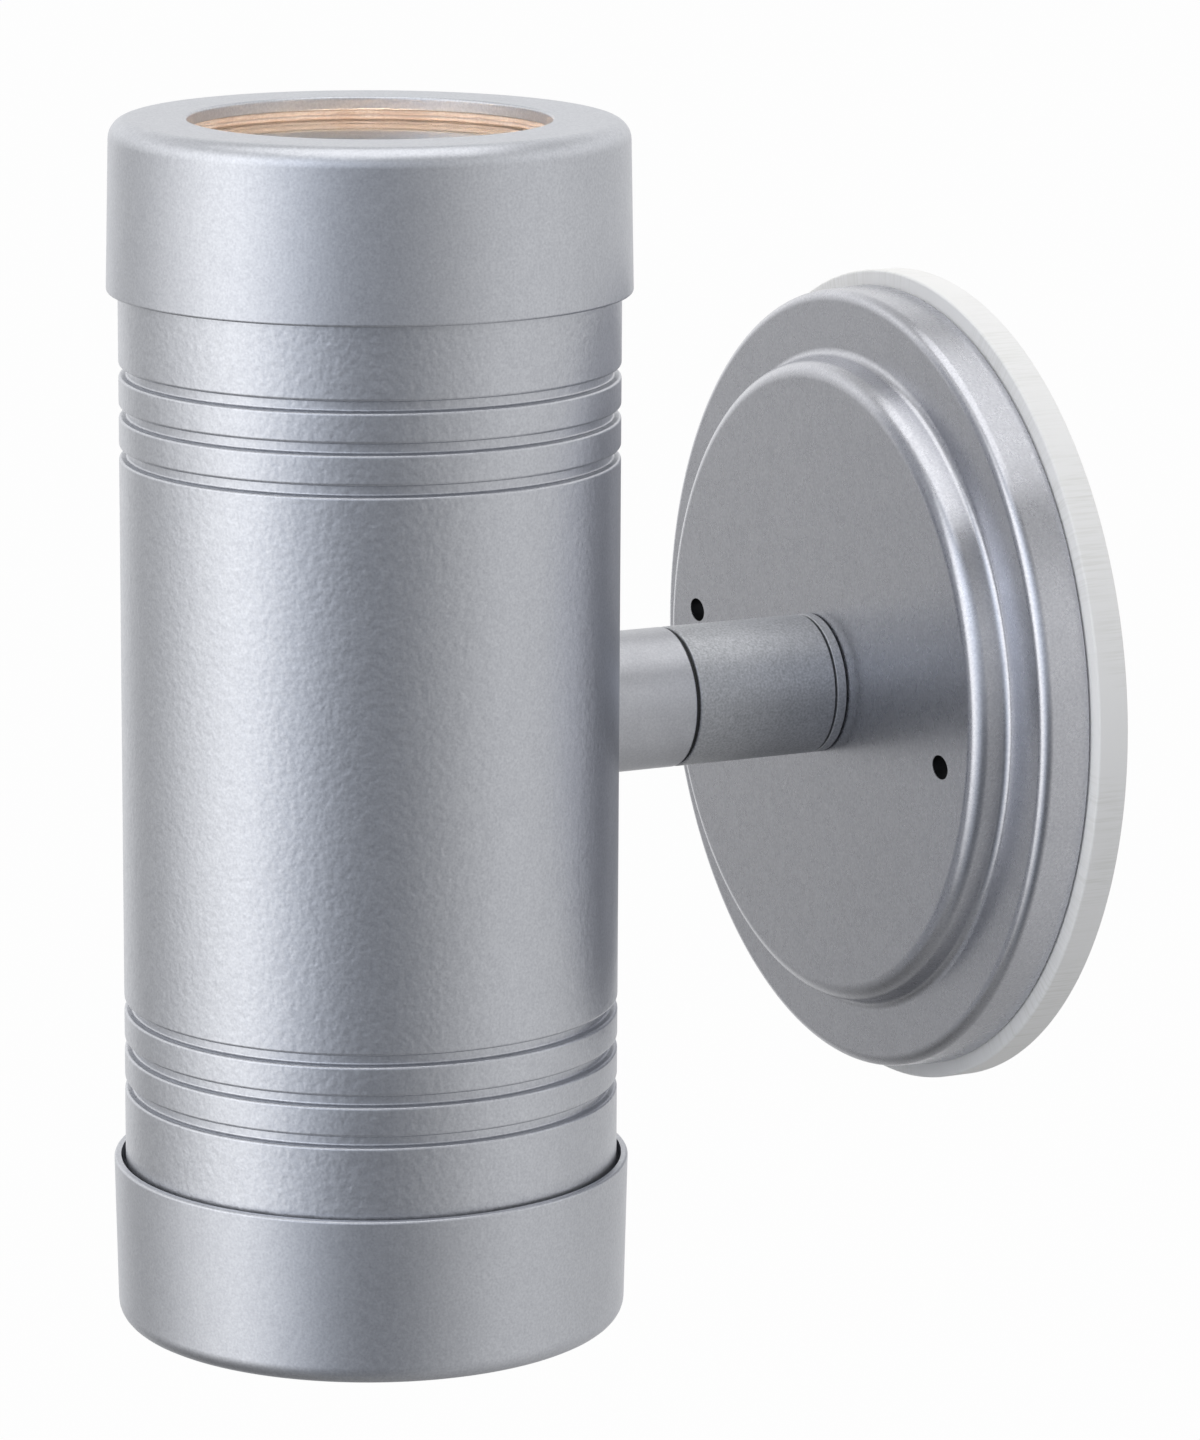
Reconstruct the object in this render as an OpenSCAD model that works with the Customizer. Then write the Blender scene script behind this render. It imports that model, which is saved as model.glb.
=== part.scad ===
// Wall washer light: a cylindrical up and down light on a short arm and a round stepped canopy.
// Millimetres. The origin is the centre of the wall gasket's back face, the wall is the plane
// y = 0, the arm runs out along -Y and +Z is up.

/* [Head housing] */
// Radius of the cylindrical housing
housing_r = 37.44; // [36.5:0.02:42]
// Wall between the housing's outside and its lamp chambers
housing_wall = 5.44; // [4.8:0.02:6]
// Height of the head over both caps
head_h = 183.7; // [178:0.1:230]
// Number of grooves turned near each end
groove_count = 3; // [1:1:5]
// Distance from one groove to the next
groove_pitch = 6.15; // [4:0.05:9]
// Distance from a cap's mouth to the nearest groove
groove_offset = 11.85; // [6:0.05:16]
// Width of a groove
groove_w = 1.8; // [0.8:0.1:3]
// Depth of a groove
groove_depth = 0.85; // [0.3:0.05:1.5]
// Step from the housing down to the threaded neck
neck_step = 1.64; // [1.2:0.02:2]
// Width of the ledge that carries a socket plate
ledge_w = 3; // [2:0.1:4]

/* [Caps] */
// Height of a cap
cap_h = 25.4; // [20:0.1:32]
// Wall at the mouth of a cap's skirt
skirt_wall = 1.02; // [0.8:0.02:2]
// Gap all round between a skirt and the housing
skirt_gap = 0.71; // [0.4:0.01:1.2]
// Radius that a cap loses from its mouth to its face
cap_taper = 0.55; // [0:0.05:0.8]
// Rounding of a cap's face at its rim
cap_edge_r = 2; // [0.5:0.1:3]
// Width of the lip that holds the lens in, from the lens pocket to the light opening
lip_w = 8.03; // [7.1:0.01:12]
// Thickness of the lip round the light opening
lip_t = 2; // [1.2:0.1:4]
// How far a skirt laps over the housing's shoulder
skirt_lap = 3.55; // [2.5:0.05:5]
// Radial gap at the cap's thread
thread_gap = 0.3; // [0.2:0.05:0.4]

/* [Lenses] */
// Thickness of the glass lens
lens_t = 3.2; // [2:0.1:5]
// Thickness of the legs of the lens gasket
gasket_leg = 1.5; // [1:0.1:2.5]
// Thickness of the lens gasket's outer web
gasket_web = 1.7; // [1:0.1:2.5]

/* [Lamps] */
// Radius of the lamp's reflector rim
lamp_r = 25; // [22:0.1:26]
// Depth at which the reflector meets the lamp's base
reflector_neck_l = 27.4; // [24:0.1:30]
// Radius of the reflector's neck
reflector_neck_r = 11; // [10:0.1:12]
// Distance between the lamp's two pins
pin_spacing = 10; // [10:0.1:11]
// Radius of a lamp pin
pin_r = 1.5; // [1.2:0.05:1.6]
// Radius of a lamp pin's head
pin_head_r = 2.5; // [2.3:0.05:2.8]
// Turn that frees a lamp from its holder, in degrees
twist_angle = 40; // [30:1:50]
// Gap between the lens and the lamp's face
lamp_gap = 4.15; // [2:0.05:8]

/* [Lamp holders] */
// Height of the swivel bay between the two socket plates
bay_h = 33; // [28:0.1:40]
// Radius of the ceramic lamp holder
holder_r = 15; // [15:0.1:17]
// Height of the ceramic lamp holder
holder_h = 14.7; // [13:0.1:18]
// Thickness of a socket plate
plate_t = 1.5; // [1:0.1:3]

/* [Arm and swivel] */
// Distance from the wall to the head's axis
arm_reach = 94.55; // [90:0.05:130]
// Radius of the arm
arm_r = 10.81; // [10.6:0.01:12]
// Length of the turning stub from the swivel seal to the housing
stub_l = 12.51; // [9:0.01:20]
// Thickness of the swivel seal
seal_t = 0.6; // [0.4:0.1:1]
// Length of the trim ring against the canopy
trim_l = 2.2; // [1.5:0.1:4]
// Radius of the threaded nipple
nipple_r = 5; // [4.6:0.05:5.2]
// Radius of the wire way through the nipple
wire_way_r = 3.6; // [3:0.05:3.8]
// Play of the head's bore on the nipple
swivel_play = 0.05; // [0.02:0.01:0.1]
// Swing of the head each way, in degrees
swivel_limit = 170; // [120:1:170]

/* [Canopy] */
// Radius of the canopy at its rim
canopy_r = 61.2; // [58:0.1:70]
// Height of the canopy from its rim to its face
canopy_h = 13.4; // [12:0.1:20]
// Height of the canopy's outer step
step_h = 8; // [6.5:0.1:8.4]
// Width of the canopy's outer step, from the rim to the foot of the raised centre
step_w = 10.4; // [9:0.1:14]
// Thickness of the canopy's sheet
sheet_t = 1.2; // [0.8:0.1:1.5]
// Diameter of the circle that the two canopy screw holes lie on
screw_circle_d = 79.8; // [70:0.1:84]
// Radius of a canopy screw hole
screw_hole_r = 1.8; // [1.5:0.1:2.6]
// Turn of the screw holes from level, in degrees
screw_turn = -7.4; // [-30:0.1:30]
// Distance that the centre of the screw circle lies below the arm's axis
screw_drop = 0.6; // [0:0.1:2]

/* [Wall gasket] */
// How far the wall gasket stands out past the canopy's rim
gasket_margin = 2.3; // [1:0.1:6]
// Thickness of the wall gasket
wall_gasket_t = 5; // [3:0.1:8]
// Width of the wall gasket's ring
wall_gasket_w = 12; // [8:0.1:13]

/* [Hidden] */
$fn = 96;
// Overrun of every cut
over = 1;
// Clearance of a fastener in its hole, and of a pressed part in its seat
fit = 0.05;
// Gap between soft or curved parts that only lie close together
slack = 0.3;
// Rounding of small edges
edge_r = 0.4;

// Head: radii, then heights above the arm's axis
chamber_r = housing_r - housing_wall;
neck_r = housing_r - neck_step;
cap_bore_r = neck_r + thread_gap;
skirt_r = housing_r + skirt_gap;
cap_mouth_r = skirt_r + skirt_wall;
cap_face_r = cap_mouth_r - cap_taper;
cap_face_z = head_h / 2;
cap_mouth_z = cap_face_z - cap_h;
shoulder_z = cap_mouth_z + skirt_lap;
lip_z = cap_face_z - lip_t;
gasket_h = lens_t + 2 * gasket_leg;
neck_end_z = lip_z - gasket_h;
lens_z = neck_end_z + gasket_leg;
shoulder_gap = 0.5;
pocket_step = 0.7;
pocket_r = neck_r - pocket_step;
lens_gasket_r = pocket_r - slack;
lens_r = lens_gasket_r - gasket_web - fit;
opening_r = pocket_r - lip_w;
gasket_inset = 0.3;
first_groove_z = cap_mouth_z - groove_offset;
groove_edge_share = 0.7;
groove_edge_r = min(groove_edge_share * groove_depth, (groove_pitch - groove_w) / 4);

// Neck seal
neck_seal_r = 0.95;
neck_seal_z = shoulder_z + 2 * neck_seal_r;
seal_groove_w = 2 * neck_seal_r + 2 * fit;
seal_groove_depth = 2 * neck_seal_r + fit;

// Lamp and its holder: heights above the arm's axis
ledge_z = bay_h / 2;
ledge_r = chamber_r - ledge_w;
holder_z = ledge_z + plate_t;
holder_top_z = holder_z + holder_h;
lamp_base_z = holder_top_z + slack;
lamp_face_z = lens_z - lamp_gap;
lamp_body_l = lamp_face_z - lamp_base_z;
lamp_base_l = lamp_body_l - reflector_neck_l;
rim_h = 2.4;
rebate_h = 1.6;
rebate_wall = 1.4;
glass_wall = 1.4;
capsule_r = 4.5;
capsule_h = 18;
capsule_foot_share = 0.7;
capsule_tip_share = 0.8;
base_end_r = 9.2;
base_taper_share = 0.34;
base_taper_h = base_taper_share * lamp_base_l;

// Lamp holder
cover_t = 3;
cavity_r = 8.4;
contact_t = 1;
pin_l = 6.2;
pin_head_h = 2.5;
slot_r = pin_r + slack;
keyhole_r = pin_head_r + slack;
pin_circle_r = pin_spacing / 2;
contact_gap = 1.2;
cavity_h = pin_l + contact_t - cover_t;
cavity_z = holder_top_z - cover_t - cavity_h;
holder_wire_r = 2.4;
holder_screw_y = 11.4;

// Small screws
screw_r = 1.5;
screw_head_r = 2.75;
screw_head_h = 1.9;
screw_recess_r = screw_head_r + slack;
screw_tail = 0.8;
drive_r = 0.9;
drive_depth = 1;
screw_recess_h = screw_head_h + slack;
holder_screw_l = holder_h - screw_recess_h + plate_t + screw_tail;
plate_screw_l = 9;
plate_hole_depth = plate_screw_l - plate_t + screw_tail;
plate_wire_r = 4;
screw_boss_r = 3.8;
screw_boss_h = plate_hole_depth + plate_t;
plate_screw_x = ledge_r - screw_boss_r / 2;

// Arm: distances out from the wall
canopy_face_out = wall_gasket_t + canopy_h;
canopy_inner_out = canopy_face_out - sheet_t;
trim_end_out = canopy_face_out + trim_l;
trim_seam = 0.3;
stub_out = arm_reach - housing_r - stub_l;
seam_out = stub_out - seal_t;
seal_ring_w = 1.9;
seal_r = arm_r - edge_r;
nipple_bore_r = nipple_r + swivel_play;
pad_r = 11;
pad_depth = 2.5;
pad_root_out = arm_reach - ledge_r - ledge_w / 2;
pad_out = arm_reach - ledge_r + pad_depth;
lock_washer_r = 9;
lock_washer_t = 1;
lock_nut_flats = 14;
lock_nut_t = 4;
nipple_tail = 1.6;
nipple_start_out = canopy_inner_out - 2 * lock_washer_t - lock_nut_t - nipple_tail;
nipple_end_out = pad_out + lock_washer_t + lock_nut_t + nipple_tail;

// Swivel stop: a pin in the collar that runs in an open ring in the stub's face
stop_pin_r = 0.8;
stop_circle_r = 7.4;
stop_groove_w = 2 * stop_pin_r + 4 * fit;
stop_groove_depth = 1.8;
stop_pin_l = 6.4;
stop_pin_out = stub_out + stop_groove_depth - slack - stop_pin_l;
stop_spare_angle = 0.5;
stop_half_angle = 180 - swivel_limit - asin(stop_pin_r / stop_circle_r) - stop_spare_angle;

// Dowel that keys the stub to the housing
dowel_r = 1.25;
dowel_l = 9;
dowel_at = 7.9;
dowel_out = arm_reach - housing_r - dowel_l / 2;

// Canopy
rim_out = wall_gasket_t;
step_out = rim_out + step_h;
step_lean = 0.4;
shoulder_r = canopy_r - step_lean;
raised_lean = 1.1;
raised_foot_r = canopy_r - step_w;
raised_top_r = raised_foot_r - raised_lean;
step_edge_r = 1.8;
foot_edge_r = 1.4;
raised_edge_r = 2.8;

// Wall gasket
wall_gasket_r = canopy_r + gasket_margin;
gasket_bevel = 0.4;

// Ground tab and screw
tab_w = 9;
tab_t = 1;
tab_reach = 17;
tab_lug_h = 9;
ground_screw_r = 2;
ground_head_r = 3.8;
ground_head_h = 2.4;
ground_screw_l = 6;
ground_screw_out = canopy_inner_out - tab_lug_h + ground_head_r;

// Straight unit vector along v
function unit(v) = v / norm(v);

// Points of the arc of radius r that rounds the corner b on the way from a to c
function corner_arc(a, b, c, r, steps) =
    let (
        u = unit(a - b),
        v = unit(c - b),
        half = acos(u * v) / 2,
        centre = b + unit(u + v) * r / sin(half),
        from = b + u * r / tan(half) - centre,
        start = atan2(from[1], from[0]),
        side = cross(b - a, c - b) > 0 ? 1 : -1,
        sweep = side * (180 - 2 * half)
    )
    [for (i = [0 : steps])
        centre + r * [cos(start + sweep * i / steps), sin(start + sweep * i / steps)]];

// Outline through corners [x, y, radius], each rounded by its own radius
function rounded(path, steps = 8) =
    let (n = len(path))
    [for (i = [0 : n - 1])
        let (
            a = path[(i + n - 1) % n],
            b = path[i],
            c = path[(i + 1) % n]
        )
        each b[2] > 0
            ? corner_arc([a[0], a[1]], [b[0], b[1]], [c[0], c[1]], b[2], steps)
            : [[b[0], b[1]]]];

// Lathe form from an outline of corners [radius, height, rounding]
module turned(path) {
    rotate_extrude() polygon(rounded(path));
}

// Flat ring standing on its lower face
module ring(outer_r, inner_r, h) {
    difference() {
        cylinder(r = outer_r, h = h);
        translate([0, 0, -over]) cylinder(r = inner_r, h = h + 2 * over);
    }
}

// Frame whose +Z runs out from the wall along the arm, with its +Y up
module out_from_wall(out = 0) {
    rotate([90, 0, 0]) translate([0, 0, out]) children();
}

// Frame on the head's axis: the top end as it stands, the bottom end turned over
module at_top() {
    translate([0, -arm_reach, 0]) children();
}
module at_bottom() {
    translate([0, -arm_reach, 0]) rotate([0, 180, 0]) children();
}

// Hexagonal nut with its bearing edges turned off, standing on its lower face
module hex_nut(flats, bore_r, h) {
    corner_r = flats / 2 / cos(30);
    difference() {
        intersection() {
            cylinder(r = corner_r, h = h, $fn = 6);
            turned([
                [0, 0, 0], [flats / 2, 0, 0], [corner_r, edge_r, 0],
                [corner_r, h - edge_r, 0], [flats / 2, h, 0], [0, h, 0]
            ]);
        }
        translate([0, 0, -over]) cylinder(r = bore_r, h = h + 2 * over);
    }
}

// Pan head screw: the head stands on z = 0 and the shank hangs below it
module pan_screw(shank_r, head_r, head_h, l) {
    difference() {
        turned([
            [0, -l, 0], [shank_r - edge_r, -l, 0], [shank_r, edge_r - l, 0], [shank_r, 0, 0],
            [head_r, 0, 0], [head_r, head_h, head_h / 2], [0, head_h, 0]
        ]);
        translate([0, 0, head_h - drive_depth]) cylinder(r = drive_r, h = drive_depth + over, $fn = 6);
    }
}

module canopy() {
    color("silver") out_from_wall() difference() {
        turned([
            [0, canopy_inner_out, 0],
            [raised_top_r - sheet_t, canopy_inner_out, raised_edge_r - sheet_t],
            [raised_foot_r - sheet_t, step_out - sheet_t, foot_edge_r + sheet_t],
            [shoulder_r - sheet_t, step_out - sheet_t, step_edge_r - sheet_t],
            [canopy_r - sheet_t, rim_out, 0],
            [canopy_r, rim_out, 0],
            [shoulder_r, step_out, step_edge_r],
            [raised_foot_r, step_out, foot_edge_r],
            [raised_top_r, canopy_face_out, raised_edge_r],
            [0, canopy_face_out, 0]
        ]);
        translate([0, 0, canopy_inner_out - over])
            cylinder(r = nipple_r + fit, h = sheet_t + 2 * over);
        translate([0, -screw_drop, canopy_inner_out - over]) rotate([0, 0, screw_turn])
            for (side = [-1, 1])
                translate([side * screw_circle_d / 2, 0, 0])
                    cylinder(r = screw_hole_r, h = sheet_t + 2 * over);
    }
}

module wall_gasket() {
    color("whitesmoke") out_from_wall() turned([
        [wall_gasket_r - wall_gasket_w, 0, 0],
        [wall_gasket_r, 0, 0],
        [wall_gasket_r, wall_gasket_t - gasket_bevel, 0],
        [wall_gasket_r - gasket_bevel, wall_gasket_t, 0],
        [wall_gasket_r - wall_gasket_w, wall_gasket_t, 0]
    ]);
}

// Earth tab clamped under the canopy's lock nut, with a lug turned up towards the wall
module ground_tab() {
    color("goldenrod") out_from_wall() difference() {
        union() {
            translate([0, 0, canopy_inner_out - tab_t]) cylinder(r = lock_washer_r, h = tab_t);
            translate([-tab_w / 2, -tab_reach, canopy_inner_out - tab_t])
                cube([tab_w, tab_reach, tab_t]);
            translate([-tab_w / 2, -tab_reach, canopy_inner_out - tab_lug_h])
                cube([tab_w, tab_t, tab_lug_h]);
        }
        translate([0, 0, canopy_inner_out - tab_t - over])
            cylinder(r = nipple_r + fit, h = tab_t + 2 * over);
        translate([0, over - tab_reach + tab_t, ground_screw_out])
            rotate([90, 0, 0]) cylinder(r = ground_screw_r + fit, h = tab_t + 2 * over);
    }
}

module ground_screw() {
    color("seagreen") out_from_wall() translate([0, -tab_reach, ground_screw_out])
        rotate([90, 0, 0]) pan_screw(ground_screw_r, ground_head_r, ground_head_h, ground_screw_l);
}

module canopy_washer() {
    color("gainsboro") out_from_wall(canopy_inner_out - tab_t - lock_washer_t)
        ring(lock_washer_r, nipple_r + fit, lock_washer_t);
}

module canopy_lock_nut() {
    color("gainsboro") out_from_wall(canopy_inner_out - tab_t - lock_washer_t - lock_nut_t)
        hex_nut(lock_nut_flats, nipple_r + fit, lock_nut_t);
}

module arm_trim_ring() {
    color("silver") out_from_wall() turned([
        [nipple_r + fit, canopy_face_out, 0],
        [arm_r, canopy_face_out, 0],
        [arm_r, trim_end_out - trim_seam, 0],
        [arm_r - trim_seam, trim_end_out - trim_seam, 0],
        [arm_r - trim_seam, trim_end_out, 0],
        [nipple_r + fit, trim_end_out, 0]
    ]);
}

// Fixed sleeve of the arm, drilled for the stop pin in its outer face
module arm_collar() {
    color("darkgray") out_from_wall() difference() {
        turned([
            [nipple_r + fit, trim_end_out, 0],
            [arm_r, trim_end_out, 0],
            [arm_r, seam_out - trim_seam, 0],
            [arm_r - trim_seam, seam_out, 0],
            [nipple_r + fit, seam_out, 0]
        ]);
        translate([0, stop_circle_r, stop_pin_out - fit])
            cylinder(r = stop_pin_r + fit, h = seam_out - stop_pin_out + over);
    }
}

module swivel_nipple() {
    color("gold") out_from_wall() turned([
        [wire_way_r, nipple_start_out, 0],
        [nipple_r - edge_r, nipple_start_out, 0],
        [nipple_r, nipple_start_out + edge_r, 0],
        [nipple_r, nipple_end_out - edge_r, 0],
        [nipple_r - edge_r, nipple_end_out, 0],
        [wire_way_r, nipple_end_out, 0]
    ]);
}

module swivel_seal() {
    color("black") out_from_wall(seam_out) ring(seal_r, seal_r - seal_ring_w, seal_t);
}

module stop_pin() {
    color("gainsboro") out_from_wall(stop_pin_out) translate([0, stop_circle_r, 0])
        cylinder(r = stop_pin_r, h = stop_pin_l);
}

module swivel_washer() {
    color("gainsboro") out_from_wall(pad_out) ring(lock_washer_r, nipple_r + fit, lock_washer_t);
}

module swivel_lock_nut() {
    color("gainsboro") out_from_wall(pad_out + lock_washer_t)
        hex_nut(lock_nut_flats, nipple_r + fit, lock_nut_t);
}

// Corners [radius, height, rounding] of a groove at height z, its land edges rounded
function groove_corners(z) = [
    [housing_r, z + groove_w / 2, groove_edge_r],
    [housing_r - groove_depth, z + groove_w / 2, 0],
    [housing_r - groove_depth, z - groove_w / 2, 0],
    [housing_r, z - groove_w / 2, groove_edge_r]
];

// Head casting: two lamp chambers over ledges, a swivel pad inside and a threaded neck at each end
module housing() {
    upper_outline = [
        [ledge_r, ledge_z, 0], [chamber_r, ledge_z, 0], [chamber_r, neck_end_z, 0],
        [neck_r - edge_r, neck_end_z, 0], [neck_r, neck_end_z - edge_r, 0],
        [neck_r, shoulder_z, 0], [housing_r - edge_r, shoulder_z, 0],
        [housing_r, shoulder_z - edge_r, 0],
        for (i = [0 : groove_count - 1]) each groove_corners(first_groove_z - i * groove_pitch)
    ];
    lower_outline = [
        for (i = [len(upper_outline) - 1 : -1 : 0])
            [upper_outline[i][0], -upper_outline[i][1], upper_outline[i][2]]
    ];
    color("silver") difference() {
        union() {
            at_top() rotate_extrude() difference() {
                polygon(rounded(concat(upper_outline, lower_outline), 4));
                for (end = [-1, 1])
                    translate([neck_r - seal_groove_depth, end * neck_seal_z - seal_groove_w / 2])
                        square([seal_groove_depth + over, seal_groove_w]);
            }
            out_from_wall(pad_root_out) cylinder(r = pad_r, h = pad_out - pad_root_out);
            for (x = [-plate_screw_x, plate_screw_x], z = [-ledge_z, ledge_z - screw_boss_h])
                translate([x, -arm_reach, z]) cylinder(r = screw_boss_r, h = screw_boss_h);
        }
        out_from_wall(arm_reach - housing_r - over)
            cylinder(r = nipple_bore_r, h = pad_out - arm_reach + housing_r + 2 * over);
        out_from_wall(dowel_out - over) translate([0, dowel_at, 0])
            cylinder(r = dowel_r + fit, h = dowel_l + over + fit);
        for (x = [-plate_screw_x, plate_screw_x]) {
            translate([x, -arm_reach, ledge_z - plate_hole_depth])
                cylinder(r = screw_r + fit, h = plate_hole_depth + over);
            translate([x, -arm_reach, -ledge_z - over])
                cylinder(r = screw_r + fit, h = plate_hole_depth + over);
        }
    }
}

// Turning half of the arm: saddled to the housing, with the stop's ring cut in its inner face
module arm_stub() {
    color("lightgray") difference() {
        out_from_wall() difference() {
            translate([0, 0, stub_out]) cylinder(r = arm_r, h = arm_reach - stub_out - housing_r / 2);
            translate([0, 0, stub_out - over])
                cylinder(r = nipple_bore_r, h = arm_reach - stub_out);
            difference() {
                translate([0, 0, stub_out - over])
                    ring(
                        stop_circle_r + stop_groove_w / 2,
                        stop_circle_r - stop_groove_w / 2,
                        stop_groove_depth + over
                    );
                translate([0, 0, stub_out])
                    linear_extrude(stop_groove_depth + over) polygon([
                        [0, 0],
                        [-arm_r * tan(stop_half_angle), -arm_r],
                        [arm_r * tan(stop_half_angle), -arm_r]
                    ]);
            }
            translate([0, dowel_at, dowel_out - fit])
                cylinder(r = dowel_r + fit, h = dowel_l + over);
        }
        translate([0, -arm_reach, -arm_r - over])
            cylinder(r = housing_r + fit, h = 2 * (arm_r + over));
    }
}

module arm_dowel() {
    color("gainsboro") out_from_wall(dowel_out) translate([0, dowel_at, 0])
        cylinder(r = dowel_r, h = dowel_l);
}

module socket_plate() {
    color("gainsboro") difference() {
        translate([0, 0, ledge_z]) cylinder(r = chamber_r - slack, h = plate_t);
        translate([0, 0, ledge_z - over]) cylinder(r = plate_wire_r, h = plate_t + 2 * over);
        for (side = [-1, 1]) {
            translate([side * plate_screw_x, 0, ledge_z - over])
                cylinder(r = screw_r + fit, h = plate_t + 2 * over);
            translate([0, side * holder_screw_y, ledge_z - over])
                cylinder(r = screw_r + fit, h = plate_t + 2 * over);
        }
    }
}

module plate_screw_pair() {
    for (side = [-1, 1])
        translate([side * plate_screw_x, 0, holder_z])
            pan_screw(screw_r, screw_head_r, screw_head_h, plate_screw_l);
}

// Ceramic holder: curved keyhole slots over a round cavity, and two sunk screws
module lamp_holder() {
    color("ivory") difference() {
        translate([0, 0, holder_z]) turned([
            [0, 0, 0], [holder_r, 0, 0], [holder_r, holder_h, edge_r], [0, holder_h, 0]
        ]);
        translate([0, 0, cavity_z]) cylinder(r = cavity_r, h = cavity_h);
        translate([0, 0, holder_z - over]) cylinder(r = holder_wire_r, h = holder_h - cover_t);
        for (turn = [0, 180]) rotate([0, 0, turn]) pin_slot();
        for (side = [-1, 1]) translate([0, side * holder_screw_y, 0]) {
            translate([0, 0, holder_z - over]) cylinder(r = screw_r + fit, h = holder_h + 2 * over);
            translate([0, 0, holder_top_z - screw_recess_h])
                cylinder(r = screw_recess_r, h = screw_recess_h + over);
        }
    }
}

// Slot that starts at a locked pin and ends in the keyhole that lets its head out
module pin_slot() {
    translate([0, 0, holder_top_z - cover_t - fit]) linear_extrude(cover_t + over) {
        translate([pin_circle_r, 0]) circle(slot_r);
        rotate(twist_angle) translate([pin_circle_r, 0]) circle(keyhole_r);
        intersection() {
            difference() {
                circle(pin_circle_r + slot_r);
                circle(pin_circle_r - slot_r);
            }
            polygon([
                [0, 0], [2 * pin_circle_r, 0],
                2 * pin_circle_r * [cos(twist_angle), sin(twist_angle)]
            ]);
        }
    }
}

module holder_screw_pair() {
    for (side = [-1, 1])
        translate([0, side * holder_screw_y, holder_top_z - screw_recess_h])
            pan_screw(screw_r, screw_head_r, screw_head_h, holder_screw_l);
}

// Pair of half-ring contact leaves on the floor of the holder's cavity
module contact_pair() {
    color("gold") difference() {
        translate([0, 0, cavity_z]) ring(cavity_r - contact_gap / 2, holder_wire_r + slack, contact_t);
        translate([-contact_gap, -cavity_r, cavity_z - over])
            cube([2 * contact_gap, 2 * cavity_r, contact_t + 2 * over]);
    }
}

module neck_seal() {
    color("black") rotate_extrude() translate([neck_r - neck_seal_r, neck_seal_z])
        circle(r = neck_seal_r, $fn = 32);
}

module lens() {
    color("aliceblue") translate([0, 0, lens_z]) turned([
        [0, 0, 0], [lens_r - edge_r, 0, 0], [lens_r, edge_r, 0],
        [lens_r, lens_t - edge_r, 0], [lens_r - edge_r, lens_t, 0], [0, lens_t, 0]
    ]);
}

// Soft ring of U section that wraps the lens
module lens_gasket() {
    color("navajowhite") turned([
        [opening_r + gasket_inset, neck_end_z, 0],
        [lens_gasket_r, neck_end_z, 0],
        [lens_gasket_r, lip_z, 0],
        [opening_r + gasket_inset, lip_z, 0],
        [opening_r + gasket_inset, lens_z + lens_t, 0],
        [lens_r + fit, lens_z + lens_t, 0],
        [lens_r + fit, lens_z, 0],
        [opening_r + gasket_inset, lens_z, 0]
    ]);
}

module cap() {
    color("silver") turned([
        [skirt_r, cap_mouth_z, 0],
        [cap_mouth_r, cap_mouth_z, trim_seam],
        [cap_face_r, cap_face_z, cap_edge_r],
        [opening_r, cap_face_z, edge_r],
        [opening_r, lip_z, 0],
        [pocket_r, lip_z, 0],
        [pocket_r, neck_end_z + slack, 0],
        [cap_bore_r, neck_end_z + slack, 0],
        [cap_bore_r, shoulder_z + shoulder_gap, 0],
        [skirt_r, shoulder_z + shoulder_gap, 0]
    ]);
}

// Points of a parabola through two [radius, depth] pairs, drawn with its depth downwards
function bowl(a, b, steps = 12) =
    [for (i = [0 : steps])
        let (r = a[0] + (b[0] - a[0]) * i / steps)
        [r, -a[1] - (b[1] - a[1]) * (a[0] * a[0] - r * r) / (a[0] * a[0] - b[0] * b[0])]];

module lamp_reflector() {
    color("lightsteelblue") translate([0, 0, lamp_face_z]) rotate_extrude() polygon(concat(
        [[lamp_r - rebate_wall, 0], [lamp_r - edge_r, 0], [lamp_r, -edge_r], [lamp_r, -rim_h]],
        bowl([lamp_r - glass_wall / 2, rim_h], [reflector_neck_r, reflector_neck_l]),
        bowl([reflector_neck_r - glass_wall, reflector_neck_l], [lamp_r - 2 * rebate_wall, rebate_h]),
        [[lamp_r - rebate_wall, -rebate_h]]
    ));
}

module lamp_glass() {
    color("aliceblue") translate([0, 0, lamp_face_z - rebate_h])
        cylinder(r = lamp_r - rebate_wall - fit, h = rebate_h);
}

module lamp_capsule() {
    color("lightyellow") translate([0, 0, lamp_face_z - reflector_neck_l]) turned([
        [0, 0, 0], [capsule_foot_share * capsule_r, 0, 0], [capsule_r, capsule_r, 0],
        [capsule_r, capsule_h, capsule_tip_share * capsule_r], [0, capsule_h, 0]
    ]);
}

module lamp_base() {
    color("ivory") translate([0, 0, lamp_base_z]) turned([
        [0, 0, 0], [base_end_r, 0, edge_r], [base_end_r, base_taper_h, 0],
        [reflector_neck_r, 2 * base_taper_h, 0],
        [reflector_neck_r, lamp_base_l, 0],
        [0, lamp_base_l, 0]
    ]);
}

module lamp_pin_pair() {
    color("gainsboro") for (side = [-1, 1])
        translate([side * pin_circle_r, 0, lamp_base_z - pin_l]) turned([
            [0, 0, 0], [pin_head_r, 0, edge_r], [pin_head_r, pin_head_h, edge_r],
            [pin_r, pin_head_h, 0], [pin_r, pin_l, 0], [0, pin_l, 0]
        ]);
}

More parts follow.
